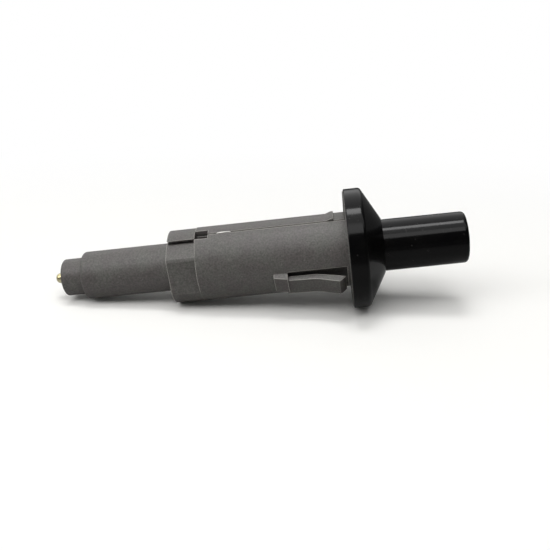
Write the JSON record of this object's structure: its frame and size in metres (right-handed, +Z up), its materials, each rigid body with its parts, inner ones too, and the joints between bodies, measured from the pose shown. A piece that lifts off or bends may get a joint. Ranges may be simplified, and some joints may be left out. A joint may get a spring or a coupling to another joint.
{
  "type": "piezo igniter",
  "caption": "Snap-in push-button piezo igniter with a black bezel and button, a grey stepped body with snap legs, and a brass spark contact at the rear.",
  "frame": {"origin": "on the igniter's axis, at the plane of the flange's back face, which meets the panel", "axes": "+X along the axis towards the button, +Z up through the middle of the top cover, +Y sideways"},
  "size_m": [0.0991, 0.0282, 0.0282],
  "materials": {
    "housing_grey": "fine-textured dark grey moulded plastic",
    "gloss_black": "polished black moulded plastic",
    "white_nylon": "natural nylon",
    "dark_nylon": "black nylon",
    "tinned_steel": "tinned spring steel strip",
    "zinc_steel": "zinc plated steel",
    "spring_steel": "drawn spring wire",
    "hammer_steel": "turned steel",
    "contact_brass": "turned brass",
    "piezo_ceramic": "fired ceramic with silvered ends",
    "insulating_sleeve": "thin insulating tube",
    "damping_rubber": "soft rubber"
  },
  "bodies": {
    "base": {"housing": "housing_grey", "top_cover": "housing_grey", "ground_strip": "tinned_steel", "bezel": "gloss_black", "return_spring": "spring_steel", "guide_sleeve": "dark_nylon", "catch_spring": "spring_steel", "contact_pin": "contact_brass", "backing_cap": "contact_brass", "piezo_rear": "piezo_ceramic", "middle_disc": "contact_brass", "piezo_front": "piezo_ceramic", "anvil": "zinc_steel", "stack_sleeve": "insulating_sleeve", "damping_ring": "damping_rubber"},
    "button": {"button": "gloss_black", "plunger": "white_nylon", "spring_washer": "zinc_steel", "impact_spring": "spring_steel"},
    "hammer": {"hammer": "hammer_steel", "hammer_pin": "hammer_steel"}
  },
  "joints": [
    {"name": "button_press", "type": "slide", "parent": "base", "child": "button", "axis": [-1, 0, 0], "range_m": [0, 0.007], "stiffness_N_per_m": 900, "springref_m": -0.004, "deforming": ["return_spring", "catch_spring"]},
    {"name": "hammer_slide", "type": "slide", "parent": "button", "child": "hammer", "axis": [1, 0, 0], "range_m": [0, 0.007], "stiffness_N_per_m": 1500, "springref_m": -0.003, "deforming": ["impact_spring"]}
  ]
}
